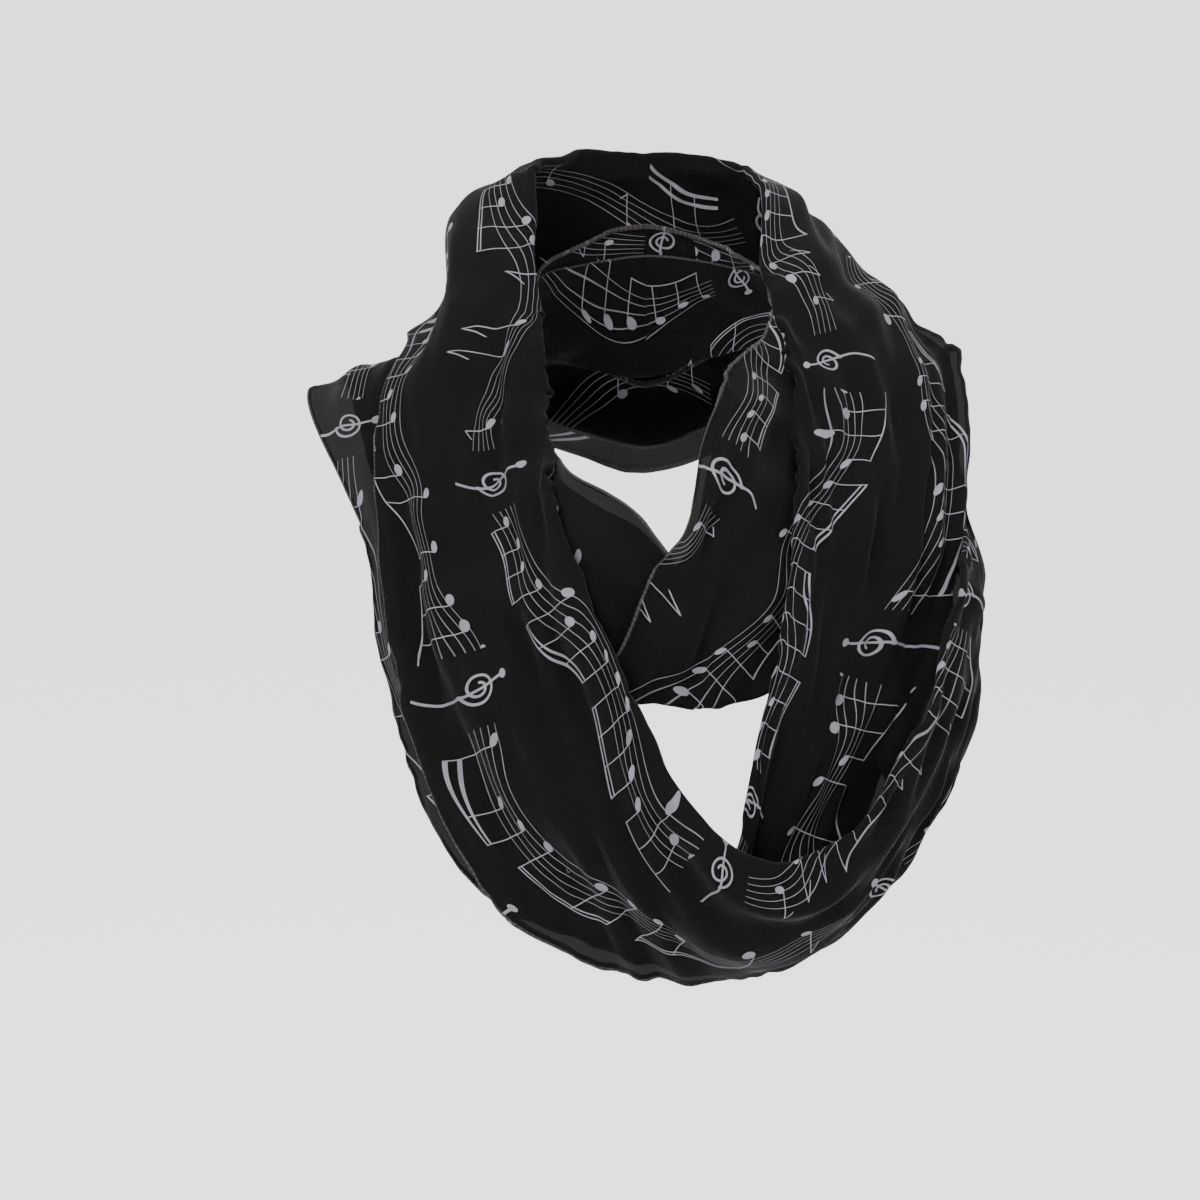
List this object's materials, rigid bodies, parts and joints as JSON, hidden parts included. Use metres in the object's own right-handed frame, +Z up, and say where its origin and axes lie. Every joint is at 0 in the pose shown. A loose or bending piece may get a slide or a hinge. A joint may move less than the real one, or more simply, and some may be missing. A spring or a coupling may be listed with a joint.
{
  "type": "infinity scarf",
  "caption": "Infinity scarf of sheer voile, wound round the neck and hanging in an open cowl on the chest.",
  "frame": {"origin": "on the axis of the neck, at the neck base where the wound cloth rests", "axes": "+Z up along the neck, -Y the way the wearer faces, +X the wearer's left"},
  "size_m": [0.3224, 0.2821, 0.3632],
  "materials": {
    "voile": "matte sheer weave with a pale grey-lilac print"
  },
  "bodies": {
    "root": {"high_fold_right": "voile", "cowl_front": "voile", "low_fold_left": "voile", "nape_low": "voile", "low_fold_right": "voile", "cowl_under": "voile", "high_fold_left": "voile", "nape_high": "voile", "inner_front": "voile", "inner_nape": "voile", "inner_right": "voile", "inner_tuck": "voile"}
  },
  "joints": []
}
